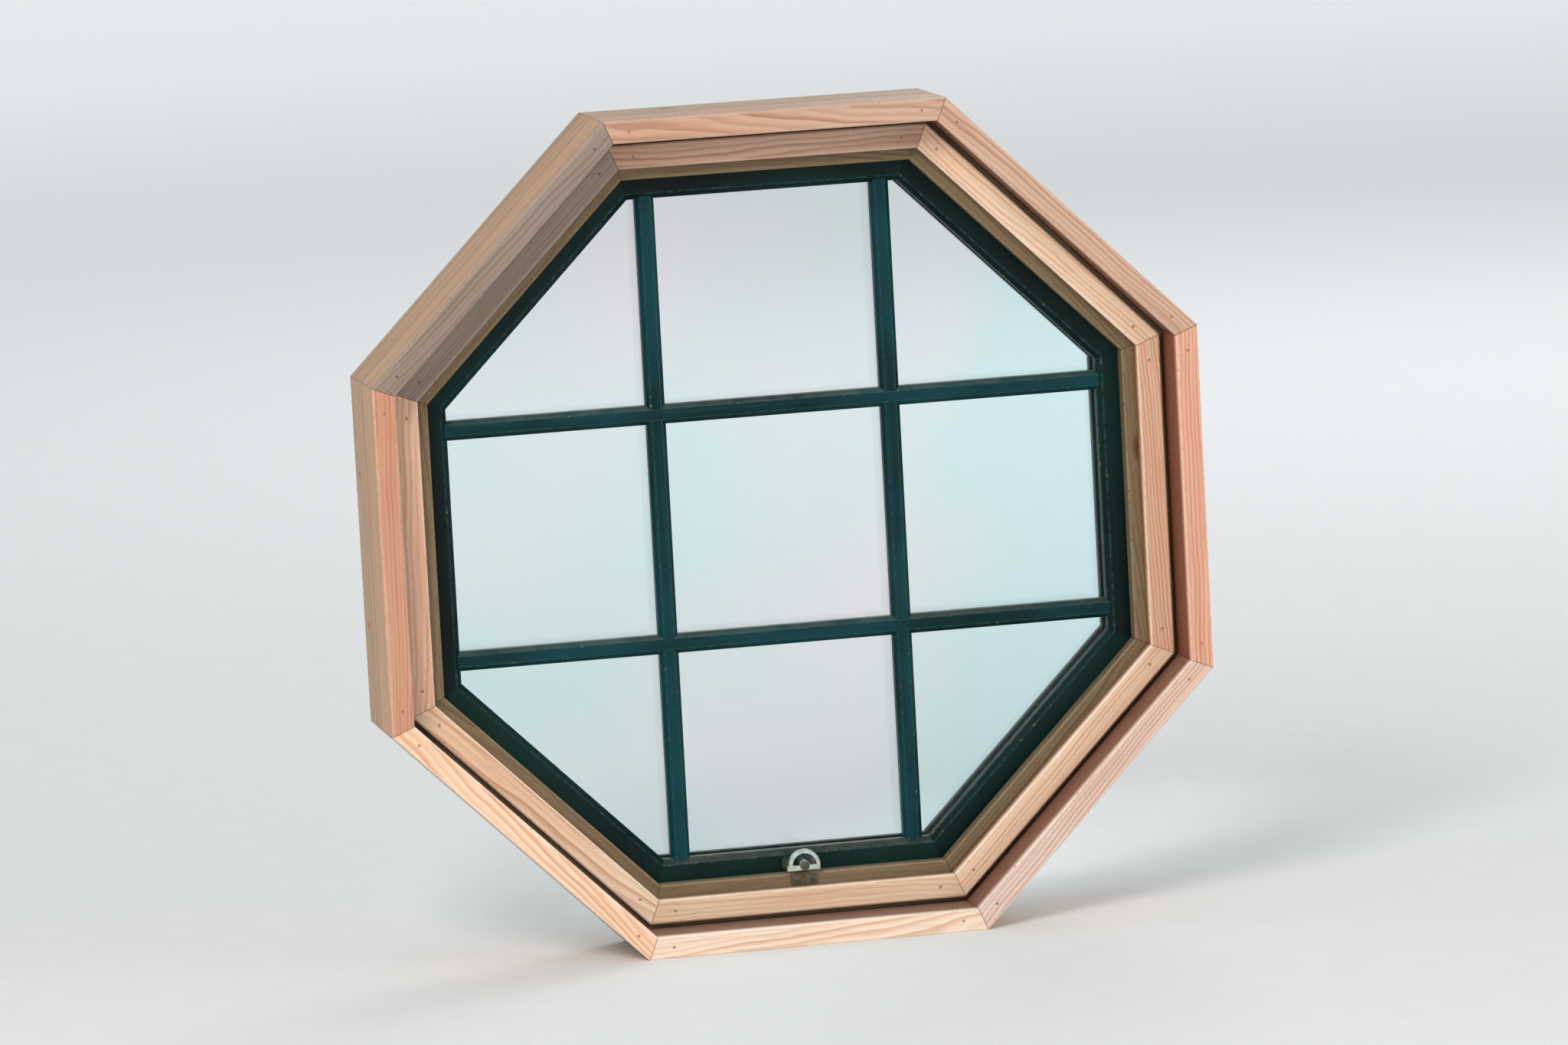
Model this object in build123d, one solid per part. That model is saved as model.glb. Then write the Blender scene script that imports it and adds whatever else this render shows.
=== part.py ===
from build123d import *
import os
from math import radians, tan

# Octagonal window: a mitred pine frame and a sash that is hinged at the top and swings outwards.
# Millimetres, +Z up. The room is on the -Y side and the outside on the +Y side.
# The origin is the centre of the frame's bottom flat, on which the window stands.

# The eight sides, from the bottom flat on towards the right as the room sees it.
SIDE_NAMES = ["bottom", "lower_right", "right", "upper_right", "top", "upper_left", "left", "lower_left"]
SIDE_TURN = 360 / len(SIDE_NAMES)

# Widths outwards from the window's centre, each measured square to a side.
DAYLIGHT_HALF = 242.0
SASH_FACE = 16.0
STOP_LAP = 9.0
SASH_GAP = 3.0
FRAME_WALL = 35.0
JAMB_THICK = 16.5
SHADOW_GAP = 4.0
LINER_THICK = 17.5

# Depths along Y.
FRAME_DEPTH = 92.0
SASH_THICK = 35.0
SEAL_THICK = 2.0
STOP_THICK = 12.0
LINER_DEPTH = 11.0
ARRIS = 1.2

# Sash, glass and glazing bars.
SASH_BEVEL = 4.0
GLASS_LIP = 11.0
RABBET_WIDTH = 12.0
GLASS_EDGE_GAP = 2.0
PANE_THICK = 3.0
SPACER_THICK = 8.0
SPACER_WIDTH = 7.0
BEAD_BEVEL = 5.0
BAR_WIDTH = 14.0
BAR_DEPTH = 9.0
BAR_BEVEL = 3.0
UPRIGHT_BAR_INSET = 13.0
LEVEL_BAR_INSET = 16.0
SEAL_WIDTH = 5.0
SEAL_INSET = 2.0

# Screws that hold the hinges, the catch and its keeper.
SCREW_RADIUS = 1.4
SCREW_HEAD_RADIUS = 2.6
SCREW_HEAD = 1.2
SCREW_LENGTH = 10.5
SCREW_TIP = 2.5
SCREW_TIP_RADIUS = 0.4
SCREW_SLOT = 0.8
SCREW_SLOT_DEPTH = 0.5
SCREW_FIT = 0.05

# Holes through the frame for the screws that fix it in the wall.
FIXING_RADIUS = 3.0
FIXING_SPACING = 110.0

# Butt hinges on the top side.
HINGE_INSET = 22.0
HINGE_WIDTH = 50.0
LEAF_THICK = 1.4
LEAF_DEPTH = 28.0
LEAF_EDGE_GAP = 0.3
KNUCKLE_RADIUS = 4.0
KNUCKLE_MIDDLE = 17.0
KNUCKLE_GAP = 0.3
KNUCKLE_CLEARANCE = 0.2
PIN_RADIUS = 2.0
PIN_FIT = 0.05
PIN_HEAD_RADIUS = 3.2
PIN_HEAD = 1.4
HINGE_SCREW_SPACING = 32.0
HINGE_SCREW_DEPTH = 14.0

# Turning catch on the bottom rail.
BASE_WIDTH = 27.0
BASE_THICK = 2.0
BASE_MARGIN = 1.0
BASE_CORNER = 3.0
BASE_SCREW_SPACING = 19.0
POST_RADIUS = 3.8
LEVER_THICK = 3.0
LEVER_GAP = 0.4
LEVER_PLAY = 0.1
LEVER_EDGE = 0.5
ARCH_RADIUS = 12.0
ARCH_WIDTH = 3.0
HUB_RADIUS = 3.8
BRIDGE_HEIGHT = 3.8
TONGUE_CLEARANCE = 2.0
SPINDLE_RADIUS = 2.0
SPINDLE_DEPTH = 9.0
SPINDLE_HEAD_RADIUS = 3.4
SPINDLE_HEAD = 1.6
KEEPER_WIDTH = 20.0
KEEPER_THICK = 1.2
KEEPER_MARGIN = 1.0
KEEPER_SCREW_SPACING = 12.0

# Radii across the flats that follow from the widths.
stop_in = DAYLIGHT_HALF + SASH_FACE
sash_out = stop_in + STOP_LAP
rebate_in = sash_out + SASH_GAP
frame_out = rebate_in + FRAME_WALL
jamb_in = frame_out - JAMB_THICK
liner_out = jamb_in - SHADOW_GAP
liner_in = liner_out - LINER_THICK
rabbet_out = DAYLIGHT_HALF + RABBET_WIDTH
glass_out = rabbet_out - GLASS_EDGE_GAP

# Planes along Y that follow from the depths.
y_out = FRAME_DEPTH / 2
y_room = y_out - FRAME_DEPTH
y_sash = y_out - SASH_THICK
y_stop_back = y_sash - SEAL_THICK
y_stop_face = y_stop_back - STOP_THICK
y_liner = y_stop_face - LINER_DEPTH
y_pane = y_sash + GLASS_LIP
y_spacer = y_pane + PANE_THICK
y_outer_pane = y_spacer + SPACER_THICK
y_bead = y_outer_pane + PANE_THICK

# Places along a side, from its middle: half a side for each unit of radius, then bars and hinges.
half_side = tan(radians(SIDE_TURN / 2))
bar_x = DAYLIGHT_HALF * half_side - UPRIGHT_BAR_INSET
bar_z = DAYLIGHT_HALF * half_side - LEVEL_BAR_INSET
hinge_x = sash_out * half_side - HINGE_INSET - HINGE_WIDTH / 2

# Height of the window's centre, and places on its upright centre line.
centre = frame_out
z_rebate_top = centre + rebate_in
z_sash_top = centre + sash_out
pivot_radius = (DAYLIGHT_HALF + SASH_BEVEL + stop_in) / 2
z_pivot = centre - pivot_radius
keeper_radius = (stop_in + liner_in) / 2
z_keeper = centre - keeper_radius

# Hinge axis, in front of the outer faces of the sash and the frame.
y_hinge = y_out + KNUCKLE_RADIUS + KNUCKLE_CLEARANCE
z_hinge = (z_sash_top + z_rebate_top) / 2

# The lever turns just in front of the keeper's face.
y_lever = y_stop_face - KEEPER_THICK - LEVER_GAP
y_lever_front = y_lever - LEVER_THICK


def block(low, high):
    """Box between two opposite corners."""
    size = [b - a for a, b in zip(low, high)]
    middle = [(a + b) / 2 for a, b in zip(low, high)]
    return Pos(*middle) * Box(*size)


def facing_room(y, z):
    """Plane with X to the right, Z up and its normal towards the room."""
    return Plane(origin=(0, y, z), x_dir=(1, 0, 0), z_dir=(0, -1, 0))


def section(*outline):
    """Section of a side: how far out from the centre, then the place along Y."""
    across = Plane(origin=(0, 0, 0), x_dir=(0, 0, -1), z_dir=(1, 0, 0))
    return across * Polygon(*outline, align=None)


def mitred(profile):
    """Bar of one section along the bottom side, mitred at both ends."""
    reach = 2 * frame_out
    half = reach * half_side
    bar = extrude(profile, amount=half, both=True)
    wedge = Plane.XZ * Polygon((0, 0), (-half, -reach), (half, -reach), align=None)
    return bar & extrude(wedge, amount=reach, both=True)


def turned(bar, index):
    """The bottom side's bar, turned to the side with this index."""
    return Pos(0, 0, centre) * Rot(0, -SIDE_TURN * index, 0) * bar


def ring(name, profile):
    """Eight mitred bars of one section, named after their sides."""
    bar = mitred(profile)
    return {f"{name}_{side}": turned(bar, index) for index, side in enumerate(SIDE_NAMES)}


def octagon(radius, y, thick):
    """Flat octagon with this half width across the flats, from y on towards the outside."""
    across = Plane(origin=(0, y, centre), x_dir=(1, 0, 0), z_dir=(0, -1, 0))
    outline = across * RegularPolygon(radius, len(SIDE_NAMES), major_radius=False, rotation=SIDE_TURN / 2)
    return extrude(outline, amount=-thick)


def frame_member_section():
    """Rebated member: a stop towards the room and a rebate round the sash."""
    return section(
        (stop_in + ARRIS, y_stop_face),
        (frame_out, y_stop_face),
        (frame_out, y_out - ARRIS),
        (frame_out - ARRIS, y_out),
        (rebate_in + ARRIS, y_out),
        (rebate_in, y_out - ARRIS),
        (rebate_in, y_stop_back),
        (stop_in, y_stop_back),
        (stop_in, y_stop_face + ARRIS),
    )


def board_section(inner, outer, y_front):
    """Plain board with both room-side arrises taken off, standing on the frame members."""
    return section(
        (inner + ARRIS, y_front),
        (outer - ARRIS, y_front),
        (outer, y_front + ARRIS),
        (outer, y_stop_face),
        (inner, y_stop_face),
        (inner, y_front + ARRIS),
    )


def sash_rail_section():
    """Sash rail: bevelled lip in front of the glass and a rabbet open to the outside."""
    return section(
        (DAYLIGHT_HALF + SASH_BEVEL, y_sash),
        (sash_out - ARRIS, y_sash),
        (sash_out, y_sash + ARRIS),
        (sash_out, y_out),
        (rabbet_out, y_out),
        (rabbet_out, y_pane),
        (DAYLIGHT_HALF, y_pane),
        (DAYLIGHT_HALF, y_sash + SASH_BEVEL),
    )


def bead_section():
    """Glazing bead in the rabbet, sloped to shed water."""
    return section(
        (DAYLIGHT_HALF, y_bead),
        (rabbet_out, y_bead),
        (rabbet_out, y_out),
        (DAYLIGHT_HALF + BEAD_BEVEL, y_out),
        (DAYLIGHT_HALF, y_out - BEAD_BEVEL),
    )


def bar_section():
    """Glazing bar on the pane's room face, bevelled on both sides. Its middle is at zero."""
    half = BAR_WIDTH / 2
    y_front = y_pane - BAR_DEPTH
    return (
        (-half, y_pane),
        (half, y_pane),
        (half, y_front + BAR_BEVEL),
        (half - BAR_BEVEL, y_front),
        (BAR_BEVEL - half, y_front),
        (-half, y_front + BAR_BEVEL),
    )


def glazing_bar(across):
    """Glazing bar square to a plane, long enough to be scribed to the bevels of both rails."""
    outline = across * Polygon(*bar_section(), align=None)
    return extrude(outline, amount=DAYLIGHT_HALF + SASH_BEVEL, both=True)


def upright_bar(x):
    """Upright glazing bar at this place along X."""
    return glazing_bar(Plane(origin=(x, 0, centre), x_dir=(1, 0, 0), z_dir=(0, 0, 1)))


def level_bar(z):
    """Level glazing bar at this height above the window's centre."""
    return glazing_bar(Plane(origin=(0, 0, centre + z), x_dir=(0, 0, -1), z_dir=(1, 0, 0)))


def glazing_bars(rails):
    """Four bars, half-lapped where they cross and scribed to the rails."""
    uprights = {"left_bar": upright_bar(-bar_x), "right_bar": upright_bar(bar_x)}
    levels = {"lower_bar": level_bar(-bar_z), "upper_bar": level_bar(bar_z)}
    y_lap = y_pane - BAR_DEPTH / 2
    room_half = block((-frame_out, y_room, 0), (frame_out, y_lap, 2 * centre))
    bars = {}
    for name, bar in uprights.items():
        for crossing in levels.values():
            bar = bar - (crossing & room_half)
        bars[name] = bar - rails["sash_rail_top"] - rails["sash_rail_bottom"]
    for name, bar in levels.items():
        for crossing in uprights.values():
            bar = bar - (crossing - room_half)
        bars[name] = bar - rails["sash_rail_left"] - rails["sash_rail_right"]
    return bars


def glass_unit():
    """Two panes with an aluminium spacer between them."""
    spacer = octagon(glass_out, y_spacer, SPACER_THICK)
    spacer -= octagon(glass_out - SPACER_WIDTH, y_spacer, SPACER_THICK)
    return {
        "inner_pane": octagon(glass_out, y_pane, PANE_THICK),
        "glass_spacer": spacer,
        "outer_pane": octagon(glass_out, y_outer_pane, PANE_THICK),
    }


def weatherstrip():
    """Rubber strip on the back of the stop, which the closed sash meets."""
    inner = stop_in + SEAL_INSET
    strip = octagon(inner + SEAL_WIDTH, y_stop_back, SEAL_THICK)
    return strip - octagon(inner, y_stop_back, SEAL_THICK)


def screw_shape(grow):
    """Countersunk screw with its head's face at the origin and its point down, grown all round."""
    down = (Align.CENTER, Align.CENTER, Align.MAX)
    shank_radius = SCREW_RADIUS + grow
    tip_start = SCREW_LENGTH - SCREW_TIP
    head = Cone(shank_radius, SCREW_HEAD_RADIUS + grow, SCREW_HEAD, align=down)
    shank = Cylinder(shank_radius, tip_start - SCREW_HEAD, align=down)
    tip = Cone(SCREW_TIP_RADIUS + grow, shank_radius, SCREW_TIP + grow, align=down)
    return head + Pos(0, 0, -SCREW_HEAD) * shank + Pos(0, 0, -tip_start) * tip


def screw():
    """Countersunk screw with a driver slot."""
    slot = Box(2 * SCREW_HEAD_RADIUS, SCREW_SLOT, 2 * SCREW_SLOT_DEPTH)
    return screw_shape(0) - slot


def drilled(shape, places):
    """The shape with a countersunk hole at each place."""
    for place in places:
        shape = shape - place * screw_shape(SCREW_FIT)
    return shape


def pair(spacing):
    """Two places, one each side of zero."""
    return (-spacing / 2, spacing / 2)


def hinge_frame_screws(x):
    """Places of the screws through a frame leaf, driven upwards."""
    y = y_out - HINGE_SCREW_DEPTH
    return [Pos(x + dx, y, z_rebate_top - LEAF_THICK) * Rot(180, 0, 0) for dx in pair(HINGE_SCREW_SPACING)]


def hinge_sash_screws(x):
    """Places of the screws through a sash leaf, driven downwards."""
    y = y_out - HINGE_SCREW_DEPTH
    return [Pos(x + dx, y, z_sash_top + LEAF_THICK) for dx in pair(HINGE_SCREW_SPACING)]


def room_face_screws(spacing, y, z):
    """Places of two screws driven from the room."""
    return [Pos(dx, y, z) * Rot(90, 0, 0) for dx in pair(spacing)]


def knuckle(x, start, end):
    """Barrel along the hinge axis between two places on it."""
    along = Plane(origin=(x + start, y_hinge, z_hinge), x_dir=(0, 1, 0), z_dir=(1, 0, 0))
    return extrude(along * Circle(KNUCKLE_RADIUS), amount=end - start)


def hinge_leaf(x, z_low, knuckles, screws):
    """Leaf of a butt hinge: its plate, a tab out to each knuckle, the pin's bore and screw holes."""
    z_high = z_low + LEAF_THICK
    half = HINGE_WIDTH / 2
    y_edge = y_out - LEAF_EDGE_GAP
    leaf = block((x - half, y_out - LEAF_DEPTH, z_low), (x + half, y_edge, z_high))
    for start, end in knuckles:
        leaf += block((x + start, y_edge, z_low), (x + end, y_hinge, z_high))
        leaf += knuckle(x, start, end)
    along = Plane(origin=(x, y_hinge, z_hinge), x_dir=(0, 1, 0), z_dir=(1, 0, 0))
    leaf -= extrude(along * Circle(PIN_RADIUS + PIN_FIT), amount=half, both=True)
    return drilled(leaf, screws)


def hinge_pin(x):
    """Pin with a flat head at each end."""
    half = HINGE_WIDTH / 2
    along = Plane(origin=(x, y_hinge, z_hinge), x_dir=(0, 1, 0), z_dir=(1, 0, 0))
    pin = extrude(along * Circle(PIN_RADIUS), amount=half, both=True)
    head = extrude(along * Circle(PIN_HEAD_RADIUS), amount=PIN_HEAD)
    return pin + Pos(half, 0, 0) * head + Pos(-half - PIN_HEAD, 0, 0) * head


def hinge(side, x):
    """One butt hinge: frame leaf with two knuckles, sash leaf with one, and the pin."""
    half = HINGE_WIDTH / 2
    middle = KNUCKLE_MIDDLE / 2
    outer = [(-half, -middle - KNUCKLE_GAP), (middle + KNUCKLE_GAP, half)]
    frame_leaf = hinge_leaf(x, z_rebate_top - LEAF_THICK, outer, hinge_frame_screws(x))
    sash_leaf = hinge_leaf(x, z_sash_top, [(-middle, middle)], hinge_sash_screws(x))
    return {
        f"{side}_hinge_frame_leaf": frame_leaf,
        f"{side}_hinge_sash_leaf": sash_leaf,
        f"{side}_hinge_pin": hinge_pin(x),
    }


def latch_base(screws):
    """Plate on the bottom rail with the post that carries the lever."""
    height = stop_in - DAYLIGHT_HALF - SASH_BEVEL - 2 * BASE_MARGIN
    plate = extrude(
        facing_room(y_sash, z_pivot) * RectangleRounded(BASE_WIDTH, height, BASE_CORNER), amount=BASE_THICK
    )
    post_end = y_lever + LEVER_PLAY
    base = plate + extrude(facing_room(y_sash, z_pivot) * Circle(POST_RADIUS), amount=y_sash - post_end)
    socket = facing_room(post_end, z_pivot) * Circle(SPINDLE_RADIUS + PIN_FIT)
    return drilled(base - extrude(socket, amount=-SPINDLE_DEPTH), screws)


def latch_lever():
    """Arched thumb lever with its tongue, which lies level while the catch is free."""
    reach = liner_in - pivot_radius - TONGUE_CLEARANCE
    arch = Circle(ARCH_RADIUS) - Circle(ARCH_RADIUS - ARCH_WIDTH)
    arch -= Pos(0, -ARCH_RADIUS) * Rectangle(2 * ARCH_RADIUS, 2 * ARCH_RADIUS)
    bridge = Rectangle(ARCH_RADIUS + reach, BRIDGE_HEIGHT)
    bridge = Pos((ARCH_RADIUS - reach) / 2, -BRIDGE_HEIGHT / 2) * bridge
    outline = arch + bridge + Circle(HUB_RADIUS) - Circle(SPINDLE_RADIUS + PIN_FIT)
    lever = extrude(facing_room(y_lever, z_pivot) * outline, amount=LEVER_THICK)
    front = lever.faces().sort_by(Axis.Y)[0]
    return chamfer(front.outer_wire().edges(), LEVER_EDGE)


def latch_spindle():
    """Spindle screw whose head holds the lever on its post."""
    end = y_lever + LEVER_PLAY + SPINDLE_DEPTH
    head_back = y_lever_front - LEVER_PLAY
    spindle = extrude(facing_room(end, z_pivot) * Circle(SPINDLE_RADIUS), amount=end - head_back)
    spindle += extrude(facing_room(head_back, z_pivot) * Circle(SPINDLE_HEAD_RADIUS), amount=SPINDLE_HEAD)
    slot = Box(2 * SPINDLE_HEAD_RADIUS, 2 * SCREW_SLOT_DEPTH, SCREW_SLOT)
    return spindle - Pos(0, head_back - SPINDLE_HEAD, z_pivot) * slot


def latch_keeper(screws):
    """Wear plate on the stop, which the tongue covers when the catch is turned."""
    height = liner_in - stop_in - 2 * KEEPER_MARGIN
    plate = facing_room(y_stop_face, z_keeper) * Rectangle(KEEPER_WIDTH, height)
    return drilled(extrude(plate, amount=KEEPER_THICK), screws)


def fixing_holes(member):
    """Two holes square through a member for the screws that fix the frame in its wall."""
    y = y_out - SASH_THICK / 2
    for dx in pair(FIXING_SPACING):
        member -= Pos(dx, y, -frame_out) * Cylinder(FIXING_RADIUS, 2 * FRAME_WALL + 2 * SASH_GAP)
    return member


def window():
    """Every sub-part by name."""
    hinge_places = {"left": -hinge_x, "right": hinge_x}
    frame_places = [place for x in hinge_places.values() for place in hinge_frame_screws(x)]
    sash_places = [place for x in hinge_places.values() for place in hinge_sash_screws(x)]
    keeper_places = room_face_screws(KEEPER_SCREW_SPACING, y_stop_face - KEEPER_THICK, z_keeper)
    base_places = room_face_screws(BASE_SCREW_SPACING, y_sash - BASE_THICK, z_pivot)

    members = ring("frame_member", frame_member_section())
    drilled_member = fixing_holes(mitred(frame_member_section()))
    for index, side in enumerate(SIDE_NAMES):
        if side in ("left", "right"):
            members[f"frame_member_{side}"] = turned(drilled_member, index)
    members["frame_member_top"] = drilled(members["frame_member_top"], frame_places)
    members["frame_member_bottom"] = drilled(members["frame_member_bottom"], keeper_places)

    rails = ring("sash_rail", sash_rail_section())
    bars = glazing_bars(rails)
    rails["sash_rail_top"] = drilled(rails["sash_rail_top"], sash_places)
    rails["sash_rail_bottom"] = drilled(rails["sash_rail_bottom"], base_places)

    parts = {**members, **rails, **bars}
    parts |= ring("jamb_board", board_section(jamb_in, frame_out, y_room))
    parts |= ring("liner", board_section(liner_in, liner_out, y_liner))
    parts |= ring("glazing_bead", bead_section())
    parts |= glass_unit()
    parts["weatherstrip"] = weatherstrip()
    for side, x in hinge_places.items():
        parts |= hinge(side, x)
    parts["frame_screws"] = Compound([place * screw() for place in frame_places + keeper_places])
    parts["sash_screws"] = Compound([place * screw() for place in sash_places + base_places])
    parts["latch_base"] = latch_base(base_places)
    parts["latch_lever"] = latch_lever()
    parts["latch_spindle"] = latch_spindle()
    parts["latch_keeper"] = latch_keeper(keeper_places)
    return parts


os.makedirs("parts", exist_ok=True)
for part_name, part in window().items():
    export_step(part, f"parts/{part_name}.step")
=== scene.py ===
import math
import random

import bpy
from mathutils import Matrix, Vector


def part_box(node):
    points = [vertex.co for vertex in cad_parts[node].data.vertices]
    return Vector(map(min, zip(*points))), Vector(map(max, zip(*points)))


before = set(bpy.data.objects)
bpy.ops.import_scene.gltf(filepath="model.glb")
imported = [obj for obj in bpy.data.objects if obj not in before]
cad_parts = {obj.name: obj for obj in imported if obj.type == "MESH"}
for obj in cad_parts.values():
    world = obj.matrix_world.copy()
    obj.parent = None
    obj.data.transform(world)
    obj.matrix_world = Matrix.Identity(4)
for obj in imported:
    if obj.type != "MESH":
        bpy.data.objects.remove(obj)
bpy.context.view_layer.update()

# Octagonal pine window with a painted sash. Metres, +Z up. The room is on the -Y side.
MM = 0.001

# All random draws start from this.
SEED = 11

# The eight sides. A side's index turns it from the bottom flat towards the right.
SIDE_NAMES = ["bottom", "lower_right", "right", "upper_right", "top", "upper_left", "left", "lower_left"]
SIDE_TURN = math.radians(360 / len(SIDE_NAMES))
HALF_MITRE = SIDE_TURN / 2
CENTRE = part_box("frame_member_top")[1].z / 2

# Bevels of the painted wood.
SASH_BEVEL = 4 * MM
BEAD_BEVEL = 5 * MM
BAR_BEVEL = 3 * MM

# Wear, with a painted highlight where edges are rubbed, is full at an edge as far as the core and reaches
# as far as the kind of wear says.
EDGE_CORE = 0.2 * MM
RUBBED_HIGHLIT_WOOD = 2.2 * MM
BRUISED_WOOD = 3.5 * MM
RUBBED_HIGHLIT_PAINT = 1.4 * MM
CHIPPED_PAINT = 1.0 * MM

# Hairlines of the mitre joints, and filled brad holes: their radius, the share of it where the filler
# is full, their distance from the mitre, and where the filler ends behind the board's front.
WOOD_JOINT = 0.45 * MM
PAINT_JOINT = 0.4 * MM
BRAD_RADIUS = 1.3 * MM
BRAD_CORE = 0.8
BRAD_INSET = 15 * MM
BRAD_DEPTH = (1 * MM, 2 * MM)

# Raw wood grows between these depths behind the front, and over this width at its border.
RAW_BEHIND = (1 * MM, 3 * MM)
RAW_BORDER = 1 * MM

# Painted shade: the brown that darkens the grooves and reveals grows between these depths behind the
# front, and fades this far from the inner face.
PAINTED_SHADE_BEHIND = (1.5 * MM, 9 * MM)
PAINTED_SHADE_INSIDE = (1.5 * MM, 4 * MM)

# Heights of the fine relief.
WOOD_RELIEF = 0.14 * MM
PAINT_RELIEF = 0.09 * MM
METAL_RELIEF = 0.03 * MM
RUBBER_RELIEF = 0.05 * MM
GLASS_RELIEF = 0.3 * MM

# How fine each pattern is, in features for each metre: along a piece, through its depth, and out from
# the centre. The patterns of glass and metal go by X, Y and Z.
RING_DRIFT = (3.5, 16, 16)
RING_WOBBLE = (26, 60, 60)
WOOD_FIBRE = (18, 1100, 1100)
WOOD_STREAK = (5, 150, 150)
WOOD_CLOUD = (5, 11, 11)
RESIN_DUCT = (60, 1500, 1500)
BRUSH_MARK = (8, 520, 520)
PAINT_RIPPLE = (22, 150, 150)
PAINT_CLOUD = (7, 14, 14)
GLASS_WIPE = (30, 1, 7)
METAL_LINE = (900, 60, 900)

# Patterns that are equally fine in every direction.
KNOT_CELL = 17.0
WOOD_KNOCK = 260.0
PAINT_KNOCK = 300.0
PAINT_SPECK = 1100.0
DUST_PATCH = 55.0
GLASS_DRIFT = 4.5
GLASS_RIPPLE = 7.0
METAL_BLOOM = 240.0
METAL_MARK = 900.0
RUBBER_BLOOM = 160.0
RUBBER_SPECK = 1500.0
STUDIO_GRAIN = 30.0

# What each board is drawn from: how far along its pattern it starts, the pith's distance from the middle
# of its face and from its front in millimetres, how the log leans, the millimetres between two rings,
# and how light the wood is.
START_SPAN = 9
PITH_ASIDE = (12, 45)
PITH_BEHIND = (6, 45)
LOG_LEAN = (-0.05, 0.05)
RING_SPACING = (2.4, 3.8)
BOARD_LIGHTNESS = (0.93, 1.07)

# How many years the drift, the wobble and a knot push a ring aside.
DRIFT_YEARS = 7.0
WOBBLE_YEARS = 0.7
KNOT_YEARS = 2.2

# How strong a ring is comes from a pattern of this fineness, read at its year and at the pith's place.
RING_STRENGTH = 3.7
PITH_STRETCH = 100

# A knot is longer along the board and through it than across it, by the inverse of these.
KNOT_ALONG = 0.55
KNOT_THROUGH = 0.6

# Gloss of the wood, of its oil and of the paint, and how much lighter the paint's brush marks are.
PINE_GLOSS = 0.25
PINE_OIL = 0.05
PINE_OIL_ROUGHNESS = 0.30
PAINT_GLOSS = 0.14
BRUSH_LIGHTER = 1.9

# Settled dust covers this share of a level face. It begins and is full at these upward shares of the
# face's normal.
WOOD_DUST = 0.18
PAINT_DUST = 0.30
DUST_UPWARD = (0.55, 0.95)

# Glass: its tints, the light that its shadow lets through, its refraction, and how its wipe marks slant.
COOL_GLASS = (0.86, 0.975, 0.985, 1)
ROSY_GLASS = (0.98, 0.965, 0.975, 1)
GLASS_SHADOW = (0.94, 0.97, 0.97, 1)
GLASS_IOR = 1.5
WIPE_TURN = 0.5

# The tint gets cooler by this share between these places on the right, and each pane shifts its pattern.
COOLER_BETWEEN = (0.02, 0.24)
COOLER_BY = 0.16
TINT_SHIFT = {"inner": 0.0, "outer": 3.0}

# Studio: a flat floor, the bend that joins it to the wall, and the wall's top.
FLOOR_RADIUS = 12.0
FLOOR_RINGS = 4
BEND_RADIUS = 2.5
BEND_STEPS = 12
WALL_TOP = 5.0
SPOKES = 96

# The studio glows a little, from nothing at its middle to the full strength at this distance.
GLOW_END = 8.0
GLOW = 0.40
GLOW_COLOUR = (0.97, 0.99, 1.0, 1.0)
STUDIO_ROUGHNESS = 0.85
GRAIN_DARKER = 0.985

# A key from above on the left of the room side, a weak fill on the right, and daylight from outside.
# Each lamp has its place, the size of its square, its watts and its colour.
LAMPS = {
    "key": ((-1.9, -3.1, 2.9), 1.5, 116, (1.0, 0.975, 0.95)),
    "fill": ((3.2, -2.6, 1.4), 2.2, 34, (0.96, 0.98, 1.0)),
    "daylight": ((1.8, 3.3, 2.8), 2.2, 46, (0.95, 0.98, 1.0)),
}
AIR_COLOUR = (0.93, 0.96, 1.0, 1)
AIR_STRENGTH = 0.36

# The photograph sees the window from its left and a little above, rolled by its wide lens. The view
# height is what the picture shows at the window.
VIEW_LEFT = math.radians(12)
VIEW_ABOVE = math.radians(7.5)
VIEW_ROLL = math.radians(3.1)
VIEW_DISTANCE = 7.0
VIEW_HEIGHT = 0.76
SENSOR = 36.0
IMAGE_WIDE, IMAGE_HIGH = 2048, 1365


def rgb(red, green, blue):
    """Linear colour from display values of 0 to 255."""

    def linear(value):
        share = value / 255
        return share / 12.92 if share <= 0.04045 else ((share + 0.055) / 1.055) ** 2.4

    return (linear(red), linear(green), linear(blue), 1.0)


def shaded(colour, factor):
    """The colour made lighter or darker."""
    return tuple(min(1.0, channel * factor) for channel in colour[:3]) + (1.0,)


DUST = rgb(176, 168, 156)
STUDIO_PALE = rgb(232, 233, 232)

# Colours of pine: early and late wood, warm clouds, fibres, knots, rubbed arrises with a painted
# highlight, the painted shade that browns the grooves and reveals, mitre joints, filler, and raw early and
# late wood.
# The painted shade share says how strong that painted shade is, and the raw depth how far in from the
# outer face the wood is raw.
PINE_TONE = {
    "pale": rgb(240, 202, 174),
    "late": rgb(200, 140, 104),
    "blush": rgb(248, 222, 208),
    "deep": rgb(158, 98, 66),
    "knot": rgb(92, 48, 28),
    "arris": rgb(250, 226, 200),
    "painted_shade": rgb(110, 57, 30),
    "joint": rgb(58, 32, 20),
    "filler": rgb(150, 104, 74),
    "raw": rgb(200, 158, 116),
    "raw_late": rgb(158, 112, 74),
    "painted_shade_share": 0.88,
    "raw_depth": 2 * MM,
}
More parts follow.
